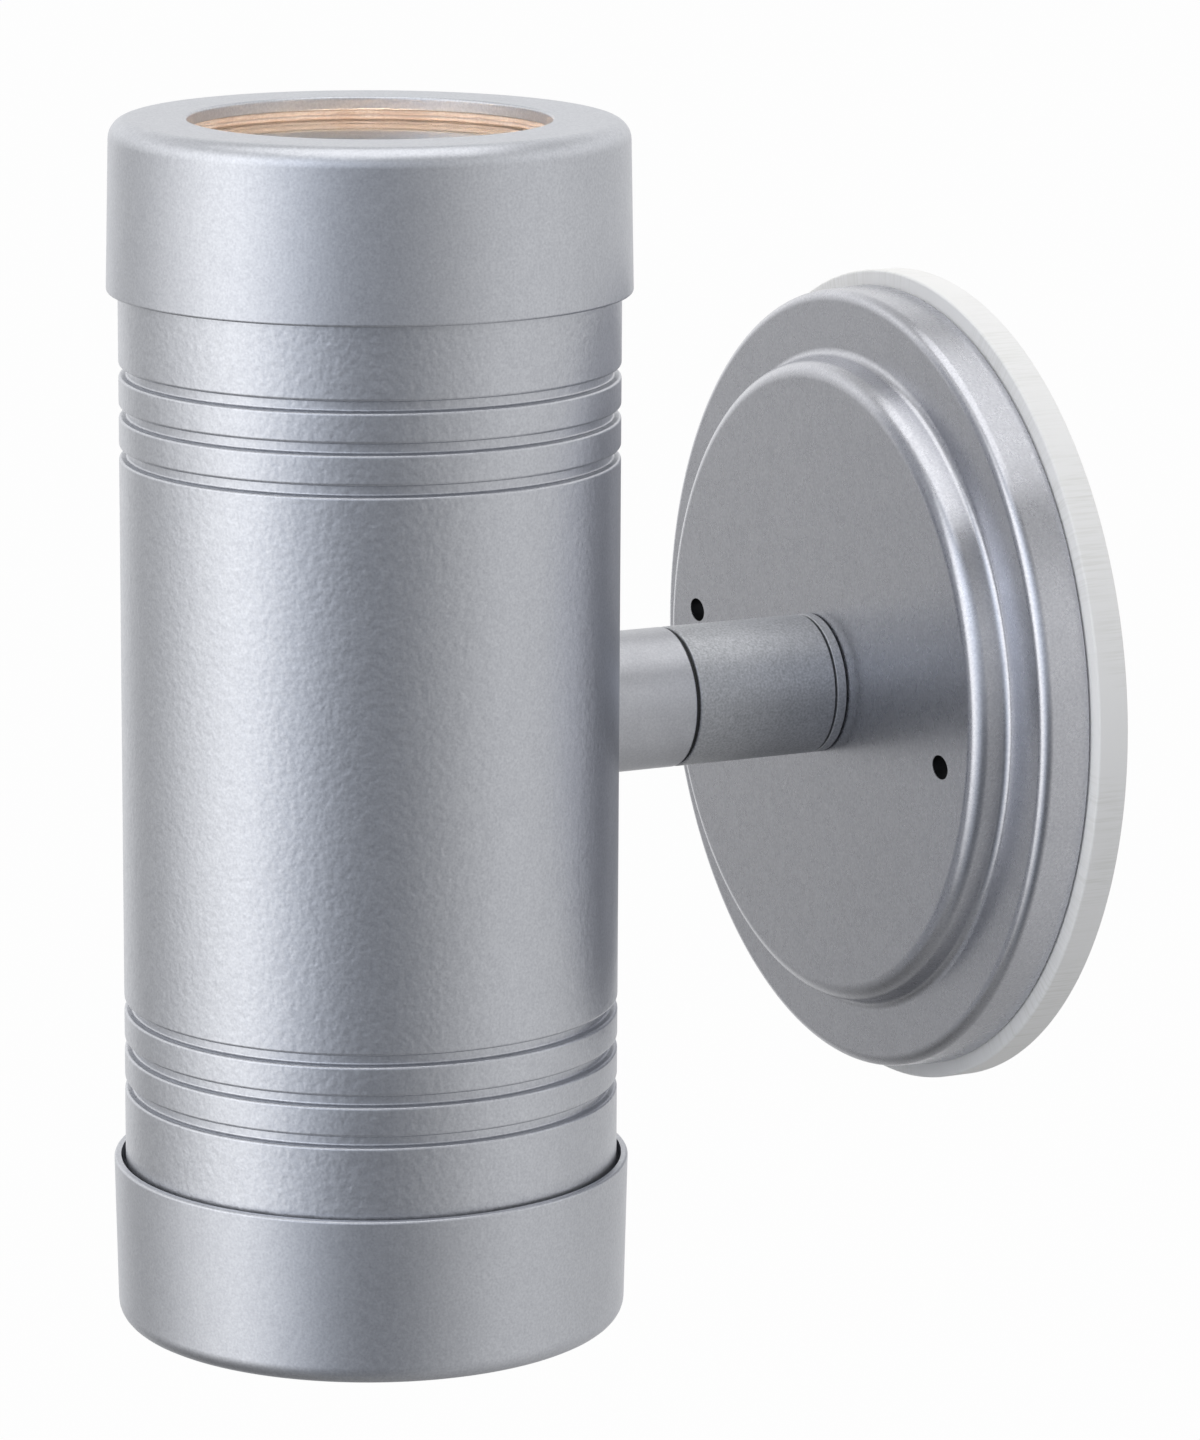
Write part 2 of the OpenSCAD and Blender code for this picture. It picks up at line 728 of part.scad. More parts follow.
module top_socket_plate() { at_top() socket_plate(); }
module bottom_socket_plate() { at_bottom() socket_plate(); }
module top_lamp_holder() { at_top() lamp_holder(); }
module bottom_lamp_holder() { at_bottom() lamp_holder(); }
module top_contacts() { at_top() contact_pair(); }
module bottom_contacts() { at_bottom() contact_pair(); }
module top_neck_seal() { at_top() neck_seal(); }
module bottom_neck_seal() { at_bottom() neck_seal(); }
module top_lens() { at_top() lens(); }
module bottom_lens() { at_bottom() lens(); }
module top_lens_gasket() { at_top() lens_gasket(); }
module bottom_lens_gasket() { at_bottom() lens_gasket(); }
module top_cap() { at_top() cap(); }
module bottom_cap() { at_bottom() cap(); }
module top_lamp_reflector() { at_top() lamp_reflector(); }
module bottom_lamp_reflector() { at_bottom() lamp_reflector(); }
module top_lamp_glass() { at_top() lamp_glass(); }
module bottom_lamp_glass() { at_bottom() lamp_glass(); }
module top_lamp_capsule() { at_top() lamp_capsule(); }
module bottom_lamp_capsule() { at_bottom() lamp_capsule(); }
module top_lamp_base() { at_top() lamp_base(); }
module bottom_lamp_base() { at_bottom() lamp_base(); }
module top_lamp_pins() { at_top() lamp_pin_pair(); }
module bottom_lamp_pins() { at_bottom() lamp_pin_pair(); }
module socket_plate_screws() {
    color("gainsboro") {
        at_top() plate_screw_pair();
        at_bottom() plate_screw_pair();
    }
}
module lamp_holder_screws() {
    color("gainsboro") {
        at_top() holder_screw_pair();
        at_bottom() holder_screw_pair();
    }
}

canopy();
wall_gasket();
canopy_washer();
canopy_lock_nut();
ground_tab();
ground_screw();
arm_trim_ring();
arm_collar();
swivel_nipple();
swivel_seal();
stop_pin();
swivel_washer();
swivel_lock_nut();
housing();
arm_stub();
arm_dowel();
top_socket_plate();
bottom_socket_plate();
socket_plate_screws();
top_lamp_holder();
bottom_lamp_holder();
lamp_holder_screws();
top_contacts();
bottom_contacts();
top_neck_seal();
bottom_neck_seal();
top_lens();
bottom_lens();
top_lens_gasket();
bottom_lens_gasket();
top_cap();
bottom_cap();
top_lamp_reflector();
bottom_lamp_reflector();
top_lamp_glass();
bottom_lamp_glass();
top_lamp_capsule();
bottom_lamp_capsule();
top_lamp_base();
bottom_lamp_base();
top_lamp_pins();
bottom_lamp_pins();
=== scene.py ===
import math

import bmesh
import bpy
from mathutils import Matrix, Vector


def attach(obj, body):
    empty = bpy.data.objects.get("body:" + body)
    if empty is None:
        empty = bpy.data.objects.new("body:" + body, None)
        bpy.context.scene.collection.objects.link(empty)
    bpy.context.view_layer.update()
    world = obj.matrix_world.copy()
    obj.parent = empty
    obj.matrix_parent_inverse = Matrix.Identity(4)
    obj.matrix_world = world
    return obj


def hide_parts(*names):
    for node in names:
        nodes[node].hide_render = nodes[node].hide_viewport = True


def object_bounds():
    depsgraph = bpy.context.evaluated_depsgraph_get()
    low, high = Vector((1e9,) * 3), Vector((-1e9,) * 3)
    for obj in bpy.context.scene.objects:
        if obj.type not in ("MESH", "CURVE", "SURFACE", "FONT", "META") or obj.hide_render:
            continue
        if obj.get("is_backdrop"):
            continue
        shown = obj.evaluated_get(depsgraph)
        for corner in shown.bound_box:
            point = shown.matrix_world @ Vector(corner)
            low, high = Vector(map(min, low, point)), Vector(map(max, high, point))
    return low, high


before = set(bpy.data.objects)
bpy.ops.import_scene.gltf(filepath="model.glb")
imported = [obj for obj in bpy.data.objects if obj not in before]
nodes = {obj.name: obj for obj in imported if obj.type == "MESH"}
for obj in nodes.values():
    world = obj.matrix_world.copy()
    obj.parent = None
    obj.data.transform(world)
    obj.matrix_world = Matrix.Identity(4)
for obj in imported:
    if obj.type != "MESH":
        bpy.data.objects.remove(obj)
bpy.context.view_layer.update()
scene = bpy.context.scene
scene.view_settings.view_transform = "Standard"
mm = 0.001

print("camera and studio")

cameraSpec = {
    "place": (0.8587, -0.49, 0.2016),
    "turn": 63.18,
    "tilt": -11.985,
    "roll": 0.348,
    "lens": 160.273,
}
cameraData = bpy.data.cameras.new("camera")
cameraData.lens = cameraSpec["lens"]
cameraData.clip_end = 60
camera = bpy.data.objects.new("camera", cameraData)
scene.collection.objects.link(camera)
camera.matrix_world = (
    Matrix.Translation(cameraSpec["place"])
    @ Matrix.Rotation(math.radians(cameraSpec["turn"]), 4, "Z")
    @ Matrix.Rotation(math.radians(90 + cameraSpec["tilt"]), 4, "X")
    @ Matrix.Rotation(math.radians(cameraSpec["roll"]), 4, "Z")
)
scene.camera = camera


def hexToLinear(code):
    channels = [int(code[i:i + 2], 16) / 255 for i in (1, 3, 5)]
    linear = [c / 12.92 if c <= 0.04045 else ((c + 0.055) / 1.055) ** 2.4 for c in channels]
    return linear + [1.0]


def addNode(tree, kind, settings=None, links=None):
    node = tree.nodes.new("ShaderNode" + kind)
    for key, value in (settings or {}).items():
        if isinstance(key, str) and hasattr(node, key):
            setattr(node, key, value)
        else:
            node.inputs[key].default_value = value
    for key, socket in (links or {}).items():
        tree.links.new(socket, node.inputs[key])
    return node


def seenStraight(tree):
    # 1 for what the camera sees by itself or through glass
    seen = addNode(tree, "LightPath").outputs
    either = addNode(
        tree, "Math", {"operation": "MAXIMUM"}, {0: seen["Is Camera Ray"], 1: seen["Is Transmission Ray"]}
    )
    return either.outputs["Value"]


# The room's light by direction. Each row starts at -180 degrees, goes round from +X towards +Y in even steps,
# and lies at its rise. A wide soft box stands at the left, a weaker one at the right, the camera's side is dark
# and a little bluish, and the white sweep is behind the object.
studio = {
    "rows": (
        (-50, (0.3, 0.12, 0.18, 0.22, 0.28, 0.3, 0.12, 0.22, 0.47, 0.65, 0.66, 0.62, 0.57, 0.48, 0.31)),
        (-12, (1.2, 0.4, 0.54, 1.27, 1.93, 0.83, 0.15, 0.15, 0.52, 0.86, 0.8, 0.64, 0.67, 0.88, 0.87)),
        (26, (1.2, 1.16, 1.35, 1.76, 2.15, 1.8, 0.95, 0.62, 0.75, 1.0, 1.2, 1.17, 1.14, 1.11, 1.06)),
    ),
    "cool": {5: (0.92, 0.98, 1.09), 6: (0.92, 0.98, 1.09), 7: (0.94, 0.98, 1.07)},  # tint, by step in each row
    "below": (-88, 0.29), "above": (64, 0.02),  # rise and level
    "sweepTowards": (-0.87, 0.44, -0.2), "sweepEdge": (0.93, 0.97),
}
overhead = {"place": (0.03, -0.07, 1.45), "size": 1.6, "bright": 1.65}  # bright is its radiance
softBox = bpy.data.lights.new("overheadBox", "AREA")
softBox.shape = "SQUARE"
softBox.size = overhead["size"]
softBox.energy = overhead["bright"] * math.pi * overhead["size"] ** 2
overheadLight = bpy.data.objects.new("overheadBox", softBox)
overheadLight.location = overhead["place"]
scene.collection.objects.link(overheadLight)

world = bpy.data.worlds.new("studio")
scene.world = world
world.use_nodes = True
tree = world.node_tree
tree.nodes.clear()
direction = addNode(tree, "TexCoord").outputs["Generated"]
parts = addNode(tree, "SeparateXYZ", {}, {"Vector": direction})
turn = addNode(tree, "Math", {"operation": "ARCTAN2"}, {0: parts.outputs["Y"], 1: parts.outputs["X"]})
around = addNode(
    tree, "MapRange", {"From Min": -math.pi, "From Max": math.pi}, {"Value": turn.outputs["Value"]}
)
rise = addNode(tree, "Math", {"operation": "ARCSINE"}, {0: parts.outputs["Z"]})
brightest = max(max(levels) for height, levels in studio["rows"])
lowRise, light = studio["below"][0], None
for height, levels in studio["rows"] + (studio["above"],):
    if isinstance(levels, tuple):
        ring = addNode(tree, "ValToRGB", {}, {"Fac": around.outputs["Result"]})
        stops = ring.color_ramp.elements
        while len(stops) <= len(levels):
            stops.new(0.5)
        for count, (stop, level) in enumerate(zip(stops, levels + levels[:1])):
            stop.position = count / len(levels)
            stop.color = [level / brightest * share for share in studio["cool"].get(count, (1, 1, 1))] + [1]
        row = ring.outputs["Color"]
    else:
        row = addNode(tree, "RGB").outputs["Color"]
        row.default_value = [levels / brightest] * 3 + [1]
    if light is None:
        light = addNode(tree, "RGB").outputs["Color"]
        light.default_value = [studio["below"][1] / brightest] * 3 + [1]
    climb = addNode(
        tree, "MapRange", {"From Min": math.radians(lowRise), "From Max": math.radians(height)},
        {"Value": rise.outputs["Value"]},
    )
    light = addNode(
        tree, "Mix", {"data_type": "RGBA"}, {"Factor": climb.outputs["Result"], "A": light, "B": row}
    ).outputs["Result"]
    lowRise = height
room = addNode(tree, "Background", {"Strength": brightest}, {"Color": light})
white = addNode(tree, "Background", {"Color": (1, 1, 1, 1), "Strength": 1})
facing = addNode(tree, "VectorMath", {"operation": "DOT_PRODUCT", 1: studio["sweepTowards"]}, {0: direction})
sweep = addNode(
    tree, "MapRange", {"From Min": studio["sweepEdge"][0], "From Max": studio["sweepEdge"][1]},
    {"Value": facing.outputs["Value"]},
)
glossy = addNode(tree, "LightPath").outputs["Is Glossy Ray"]
mirrored = addNode(tree, "Math", {"operation": "MULTIPLY"}, {0: glossy, 1: sweep.outputs["Result"]})
backdrop = addNode(
    tree, "Math", {"operation": "MAXIMUM"}, {0: seenStraight(tree), 1: mirrored.outputs["Value"]}
)
shown = addNode(
    tree, "MixShader", {},
    {0: backdrop.outputs["Value"], 1: room.outputs["Background"], 2: white.outputs["Background"]},
)
addNode(tree, "OutputWorld", {}, {"Surface": shown.outputs["Shader"]})

floorSpec = {"level": -1.2, "half": 20, "grey": 0.85, "own": 0.97}  # own is how far it shows as plain white
bm = bmesh.new()
bmesh.ops.create_grid(bm, x_segments=1, y_segments=1, size=floorSpec["half"])
bmesh.ops.translate(bm, vec=(0, 0, floorSpec["level"]), verts=bm.verts)
floorMesh = bpy.data.meshes.new("floor")
bm.to_mesh(floorMesh)
bm.free()
floor = bpy.data.objects.new("floor", floorMesh)
scene.collection.objects.link(floor)
floor.visible_glossy = floor.visible_diffuse = False  # the room above already holds the light from below
floor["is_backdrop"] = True
paper = bpy.data.materials.new("studio paper")
paper.use_nodes = True
tree = paper.node_tree
tree.nodes.clear()
matt = addNode(tree, "BsdfDiffuse", {"Color": [floorSpec["grey"]] * 3 + [1]})
glow = addNode(tree, "Emission", {"Color": (1, 1, 1, 1), "Strength": 1})
own = addNode(tree, "Math", {"operation": "MULTIPLY", 1: floorSpec["own"]}, {0: seenStraight(tree)})
mixed = addNode(
    tree, "MixShader", {}, {0: own.outputs["Value"], 1: matt.outputs["BSDF"], 2: glow.outputs["Emission"]}
)
addNode(tree, "OutputMaterial", {}, {"Surface": mixed.outputs["Shader"]})
floorMesh.materials.append(paper)

print("materials")

noiseSpan = {"From Min": 0.3, "From Max": 0.7}  # most of a noise texture's values lie here
flakeShare, cloudShare = 0.85, 0.15  # of the paint's change from dark to light


def newFinish(name):
    material = bpy.data.materials.new(name)
    material.use_nodes = True
    tree = material.node_tree
    tree.nodes.clear()
    coords = addNode(tree, "TexCoord").outputs["Object"]
    shader = addNode(tree, "BsdfPrincipled")
    addNode(tree, "OutputMaterial", {}, {"Surface": shader.outputs["BSDF"]})
    return material, tree, coords, shader


def powderCoat(name, look):
    # Aluminium flake in a satin film: grains of flake give sparkle, the film's ripple mottles the highlight
    material, tree, coords, shader = newFinish(name)
    flake = addNode(
        tree, "TexNoise", {"Scale": 1 / (look["flake"] * mm), "Detail": 2.0, "Roughness": 0.6}, {"Vector": coords}
    )
    ripple = addNode(
        tree, "TexNoise", {"Scale": 1 / (look["ripple"] * mm), "Detail": 1.0, "Roughness": 0.4},
        {"Vector": coords},
    )
    cloud = addNode(
        tree, "TexNoise", {"Scale": 1 / (look["cloud"] * mm), "Detail": 2.0}, {"Vector": coords}
    )
    grain = addNode(tree, "MapRange", {**noiseSpan, "To Max": flakeShare}, {"Value": flake.outputs["Fac"]})
    drift = addNode(tree, "MapRange", {**noiseSpan, "To Max": cloudShare}, {"Value": cloud.outputs["Fac"]})
    blend = addNode(
        tree, "Math", {"operation": "ADD"}, {0: grain.outputs["Result"], 1: drift.outputs["Result"]}
    )
    colour = addNode(
        tree, "Mix",
        {"data_type": "RGBA", "A": hexToLinear(look["dark"]), "B": hexToLinear(look["light"])},
        {"Factor": blend.outputs["Value"]},
    )
    gloss = addNode(
        tree, "MapRange", {**noiseSpan, "To Min": look["smooth"], "To Max": look["rough"]},
        {"Value": ripple.outputs["Fac"]},
    )
    peel = addNode(
        tree, "Bump", {"Strength": 1.0, "Distance": look["rippleDepth"] * mm}, {"Height": ripple.outputs["Fac"]}
    )
    grit = addNode(
        tree, "Bump", {"Strength": 1.0, "Distance": look["flakeDepth"] * mm},
        {"Height": flake.outputs["Fac"], "Normal": peel.outputs["Normal"]},
    )
    shader.inputs["Metallic"].default_value = look["metallic"]
    tree.links.new(colour.outputs["Result"], shader.inputs["Base Color"])
    tree.links.new(gloss.outputs["Result"], shader.inputs["Roughness"])
    tree.links.new(grit.outputs["Normal"], shader.inputs["Normal"])
    return material


# Sizes in mm. Real flake is about 0.05 mm and can't show here, so it is drawn at 0.4 mm. The head's coat is
# orange-peeled, and the caps' is finer.
headPaint = powderCoat("powder coated die-cast aluminium", {
    "dark": "#bbbdc3", "light": "#d0d2d7", "flake": 0.4, "flakeDepth": 0.008, "ripple": 1.05,
    "rippleDepth": 0.06, "cloud": 4.0, "smooth": 0.35, "rough": 0.39, "metallic": 0.92,
})
capPaint = powderCoat("fine powder coated aluminium", {
    "dark": "#bbbdc3", "light": "#d0d2d7", "flake": 0.4, "flakeDepth": 0.01, "ripple": 0.95,
    "rippleDepth": 0.017, "cloud": 4.0, "smooth": 0.38, "rough": 0.42, "metallic": 0.92,
})
stubPaint = powderCoat("smooth coated aluminium", {
    "dark": "#bcbdc2", "light": "#cfd0d4", "flake": 0.35, "flakeDepth": 0.003, "ripple": 2.4,
    "rippleDepth": 0.01, "cloud": 9.0, "smooth": 0.38, "rough": 0.42, "metallic": 0.92,
})
armPaint = powderCoat("bead blasted anodised aluminium", {
    "dark": "#abadb0", "light": "#d5d6d9", "flake": 0.36, "flakeDepth": 0.024, "ripple": 1.2,
    "rippleDepth": 0.005, "cloud": 6.0, "smooth": 0.46, "rough": 0.54, "metallic": 0.95,
})
canopyPaint = powderCoat("powder coated spun steel", {
    "dark": "#b7b8be", "light": "#cecfd4", "flake": 0.38, "flakeDepth": 0.0018, "ripple": 1.8,
    "rippleDepth": 0.004, "cloud": 5.0, "smooth": 0.26, "rough": 0.3, "metallic": 0.92,
})


def softSheet(name, look):
    # Soft pieces: pores or a moulded skin, colour drift and a rough surface
    material, tree, coords, shader = newFinish(name)
    pores = addNode(
        tree, "TexNoise", {"Scale": 1 / (look["pore"] * mm), "Detail": 3.0, "Roughness": 0.65}, {"Vector": coords}
    )
    cloud = addNode(tree, "TexNoise", {"Scale": 1 / (look["cloud"] * mm), "Detail": 1.0}, {"Vector": coords})
    mixShare = addNode(
        tree, "Math", {"operation": "MULTIPLY"}, {0: pores.outputs["Fac"], 1: cloud.outputs["Fac"]}
    )
    spread = addNode(
        tree, "MapRange", {"From Min": 0.15, "From Max": 0.35}, {"Value": mixShare.outputs["Value"]}
    )
    colour = addNode(
        tree, "Mix",
        {"data_type": "RGBA", "A": hexToLinear(look["dark"]), "B": hexToLinear(look["light"])},
        {"Factor": spread.outputs["Result"]},
    )
    bump = addNode(
        tree, "Bump", {"Strength": 1.0, "Distance": look["depth"] * mm}, {"Height": pores.outputs["Fac"]}
    )
    shader.inputs["Roughness"].default_value = look["rough"]
    shader.inputs["Transmission Weight"].default_value = look.get("clear", 0)
    tree.links.new(colour.outputs["Result"], shader.inputs["Base Color"])
    tree.links.new(bump.outputs["Normal"], shader.inputs["Normal"])
    return material


silicone = softSheet("moulded translucent silicone", {
    "dark": "#ddcdc2", "light": "#efe4dc", "pore": 0.6, "cloud": 5.0, "depth": 0.01, "rough": 0.35, "clear": 0.2,
})
blackRubber = softSheet("moulded nitrile rubber", {
    "dark": "#111213", "light": "#1f2021", "pore": 0.3, "cloud": 3.0, "depth": 0.01, "rough": 0.55,
})
ceramic = softSheet("unglazed steatite ceramic", {
    "dark": "#d8d1c2", "light": "#eee9de", "pore": 0.4, "cloud": 4.0, "depth": 0.015, "rough": 0.62,
})


def cutFoam(name, look):
    # Die-cut closed-cell foam: the knife leaves short marks straight across the edge, round the whole ring
    material, tree, coords, shader = newFinish(name)
    place = addNode(tree, "SeparateXYZ", {}, {"Vector": coords})
    turn = addNode(
        tree, "Math", {"operation": "ARCTAN2"}, {0: place.outputs["Z"], 1: place.outputs["X"]}
    )
    along = addNode(
        tree, "Math", {"operation": "MULTIPLY", 1: look["radius"] / look["mark"]}, {0: turn.outputs["Value"]}
    )
    across = addNode(
        tree, "Math", {"operation": "MULTIPLY", 1: 1 / (look["markLength"] * mm)}, {0: place.outputs["Y"]}
    )
    ribbon = addNode(
        tree, "CombineXYZ", {}, {"X": along.outputs["Value"], "Y": across.outputs["Value"]}
    )
    marks = addNode(
        tree, "TexNoise", {"Scale": 1.0, "Detail": 2.0, "Roughness": 0.7}, {"Vector": ribbon.outputs["Vector"]}
    )
    patches = addNode(
        tree, "TexNoise", {"Scale": 1 / (look["patch"] * mm), "Detail": 1.0}, {"Vector": coords}
    )
    strength = addNode(
        tree, "MapRange", {"From Min": 0.4, "From Max": 0.65}, {"Value": patches.outputs["Fac"]}
    )
    pores = addNode(
        tree, "TexNoise", {"Scale": 1 / (look["pore"] * mm), "Detail": 3.0, "Roughness": 0.7}, {"Vector": coords}
    )
    tone = addNode(
        tree, "MapRange", {"From Min": 0.35, "From Max": 0.55}, {"Value": marks.outputs["Fac"]}
    )
    plain = addNode(
        tree, "Mix", {"data_type": "FLOAT", 2: 1.0},
        {"Factor": strength.outputs["Result"], 3: tone.outputs["Result"]},
    )
    colour = addNode(
        tree, "Mix",
        {"data_type": "RGBA", "A": hexToLinear(look["dark"]), "B": hexToLinear(look["light"])},
        {"Factor": plain.outputs["Result"]},
    )
    bump = addNode(
        tree, "Bump", {"Strength": 1.0, "Distance": look["depth"] * mm}, {"Height": pores.outputs["Fac"]}
    )
    scored = addNode(
        tree, "Bump", {"Strength": 1.0, "Distance": look["markDepth"] * mm},
        {"Height": marks.outputs["Fac"], "Normal": bump.outputs["Normal"]},
    )
    shader.inputs["Roughness"].default_value = look["rough"]
    tree.links.new(colour.outputs["Result"], shader.inputs["Base Color"])
    tree.links.new(scored.outputs["Normal"], shader.inputs["Normal"])
    return material


foam = cutFoam("die-cut closed-cell foam", {
    "dark": "#e7e6e2", "light": "#f2f1ef", "radius": 63.5, "mark": 0.5, "markLength": 12.0, "markDepth": 0.004,
    "patch": 14.0, "pore": 0.45, "depth": 0.015, "rough": 0.85,
})


def plainMetal(name, look):
    # Turned or rolled metal: fine tool lines give the gloss a direction, with light tarnish
    material, tree, coords, shader = newFinish(name)
    lines = addNode(
        tree, "TexNoise", {"Scale": 1 / (look["line"] * mm), "Detail": 3.0, "Roughness": 0.6}, {"Vector": coords}
    )
    tarnish = addNode(tree, "TexNoise", {"Scale": 1 / (look["cloud"] * mm), "Detail": 2.0}, {"Vector": coords})
    colour = addNode(
        tree, "Mix",
        {"data_type": "RGBA", "A": hexToLinear(look["dark"]), "B": hexToLinear(look["light"])},
        {"Factor": tarnish.outputs["Fac"]},
    )
    gloss = addNode(
        tree, "MapRange", {**noiseSpan, "To Min": look["smooth"], "To Max": look["rough"]},
        {"Value": lines.outputs["Fac"]},
    )
    bump = addNode(
        tree, "Bump", {"Strength": 1.0, "Distance": look["depth"] * mm}, {"Height": lines.outputs["Fac"]}
    )
    shader.inputs["Metallic"].default_value = 1.0
    tree.links.new(colour.outputs["Result"], shader.inputs["Base Color"])
    tree.links.new(gloss.outputs["Result"], shader.inputs["Roughness"])
    tree.links.new(bump.outputs["Normal"], shader.inputs["Normal"])
    return material


zincSteel = plainMetal("zinc plated steel", {
    "dark": "#a3a6aa", "light": "#cdd0d4", "line": 0.25, "cloud": 3.0,
    "smooth": 0.25, "rough": 0.4, "depth": 0.004,
})
brass = plainMetal("plain turned brass", {
    "dark": "#a8843f", "light": "#d9b76a", "line": 0.25, "cloud": 3.0,
    "smooth": 0.22, "rough": 0.38, "depth": 0.004,
})
greenZinc = plainMetal("green dyed zinc", {
    "dark": "#1d5a2c", "light": "#2f8443", "line": 0.25, "cloud": 2.0,
    "smooth": 0.25, "rough": 0.4, "depth": 0.004,
})
# Near black, darker than phosphated steel: painted shade on the screw holes' lips
holeShadeSteel = plainMetal("phosphated steel with painted hole shade", {
    "dark": "#17181a", "light": "#2b2c2f", "line": 0.3, "cloud": 2.0,
    "smooth": 0.5, "rough": 0.65, "depth": 0.01,
})
mirrorCoat = plainMetal("vapour coated reflector", {
    "dark": "#e2d6c0", "light": "#f4ecdc", "line": 0.5, "cloud": 6.0,
    "smooth": 0.06, "rough": 0.14, "depth": 0.002,
})


def clearGlass(name, look):
    # Pressed glass: clear, with a faint film of dust that roughens it in patches
    material, tree, coords, shader = newFinish(name)
    film = addNode(tree, "TexNoise", {"Scale": 1 / (look["film"] * mm), "Detail": 4.0}, {"Vector": coords})
    gloss = addNode(
        tree, "MapRange",
        {"From Min": 0.35, "From Max": 0.75, "To Min": look["smooth"], "To Max": look["rough"]},
        {"Value": film.outputs["Fac"]},
    )
    shader.inputs["Base Color"].default_value = hexToLinear(look["tint"])
    shader.inputs["Transmission Weight"].default_value = 1.0
    shader.inputs["IOR"].default_value = 1.5
    tree.links.new(gloss.outputs["Result"], shader.inputs["Roughness"])
    return material


lensGlass = clearGlass("tempered soda-lime glass", {
    "tint": "#f3f8f5", "film": 5.0, "smooth": 0.0, "rough": 0.025,
})
lampGlass = clearGlass("lamp glass", {"tint": "#fffaf0", "film": 3.0, "smooth": 0.0, "rough": 0.03})


def glowingWire(name, look):
    # Tungsten at working heat: a warm glow, hotter and cooler in small spots along the wire
    material, tree, coords, shader = newFinish(name)
    heat = addNode(tree, "TexNoise", {"Scale": 1 / (look["spot"] * mm), "Detail": 1.0}, {"Vector": coords})
    colour = addNode(
        tree, "Mix",
        {"data_type": "RGBA", "A": hexToLinear(look["cool"]), "B": hexToLinear(look["hot"])},
        {"Factor": heat.outputs["Fac"]},
    )
    shader.inputs["Base Color"].default_value = hexToLinear(look["metal"])
    shader.inputs["Metallic"].default_value = 1.0
    shader.inputs["Roughness"].default_value = 0.4
    shader.inputs["Emission Strength"].default_value = look["glow"]
    tree.links.new(colour.outputs["Result"], shader.inputs["Emission Color"])
    return material


hotCoil = glowingWire("coiled tungsten wire", {
    "metal": "#8b8680", "cool": "#ffc9a0", "hot": "#ffecd8", "spot": 0.8, "glow": 250.0,
})

print("wall side")

headOut = 94.55  # mm from the wall to the head's axis
onWall = Matrix.Rotation(math.pi / 2, 4, "X")  # lathe axis out from the wall, along -Y
onHead = Matrix.Translation((0, -headOut * mm, 0))
turnedOver = onHead @ Matrix.Rotation(math.pi, 4, "Y")


def spinOutline(outline, steps=160, arc=6):
    # Corners are (radius, height, rounding) in mm, walked round a closed outline
    bm = bmesh.new()
    corners = [bm.verts.new((c[0] * mm, 0, c[1] * mm)) for c in outline]
    for first, second in zip(corners, corners[1:] + corners[:1]):
        bm.edges.new((first, second))
    for corner, sizes in zip(corners, outline):
        if len(sizes) > 2:
            ways = [edge.other_vert(corner).co - corner.co for edge in corner.link_edges]
            reach = sizes[2] * mm / math.tan(ways[0].angle(ways[1]) / 2)
            bmesh.ops.bevel(
                bm, geom=[corner], offset=reach, offset_type="OFFSET", segments=arc, profile=0.5,
                affect="VERTICES", material=-1,
            )
    bmesh.ops.spin(
        bm, geom=bm.verts[:] + bm.edges[:], cent=(0, 0, 0), axis=(0, 0, 1), angle=math.tau,
        steps=steps, use_merge=True, dvec=(0, 0, 0),
    )
    bmesh.ops.remove_doubles(bm, verts=bm.verts, dist=1e-7)
    bmesh.ops.recalc_face_normals(bm, faces=bm.faces)
    return bm


def addPiece(name, bm, place, material, body, stands=(), sharp=32):
    bm.transform(place)
    mesh = bpy.data.meshes.new(name)
    bm.to_mesh(mesh)
    bm.free()
    mesh.shade_smooth()
    mesh.set_sharp_from_angle(angle=math.radians(sharp))
    mesh.materials.append(material)
    piece = bpy.data.objects.new(name, mesh)
    scene.collection.objects.link(piece)
    even = piece.modifiers.new("evenNormals", "WEIGHTED_NORMAL")
    even.keep_sharp = True
    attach(piece, body)
    if stands:
        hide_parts(*stands)
    return piece


# Distances in mm: radius, then distance out from the wall
canopy = {
    "rim": (61.2, 5.2), "shoulder": (60.8, 13.0, 1.8), "foot": (50.8, 13.0, 1.4), "top": (49.7, 18.4, 2.8),
    "sheet": 1.2, "bore": 5.05, "holes": 79.8, "holeRadius": 1.8, "holeStretch": 1.3, "holeTurn": -7.4,
    "holeDrop": 0.6, "drill": (6, 17.8), "lipWall": 0.45, "lipDepth": 2.9, "lipStep": 0.06, "lipBelow": 0.12,
}
sheet = canopy["sheet"]
bm = spinOutline([
    (canopy["bore"], canopy["top"][1] - sheet),
    (canopy["top"][0] - sheet, canopy["top"][1] - sheet, canopy["top"][2] - sheet),
    (canopy["foot"][0] - sheet, canopy["foot"][1] - sheet, canopy["foot"][2] + sheet),
    (canopy["shoulder"][0] - sheet, canopy["shoulder"][1] - sheet, canopy["shoulder"][2] - sheet),
    (canopy["rim"][0] - sheet, canopy["rim"][1]),
    (canopy["rim"][0], canopy["rim"][1], 0.35),
    canopy["shoulder"], canopy["foot"], canopy["top"],
    (canopy["bore"], canopy["top"][1]),
], steps=224, arc=8)
canopySkin = addPiece("canopySkin", bm, onWall, canopyPaint, "wall_base", ["canopy"])
holeTurn = Matrix.Translation((0, -canopy["holeDrop"] * mm, 0)) @ Matrix.Rotation(
    math.radians(canopy["holeTurn"]), 4, "Z"
)
holePlaces = [
    onWall @ holeTurn @ Matrix.Translation((side * canopy["holes"] / 2 * mm, 0, 0))
    @ Matrix.Diagonal((canopy["holeStretch"], 1, 1, 1))
    for side in (-1, 1)
]
bm = bmesh.new()
drillLong, drillOut = canopy["drill"]
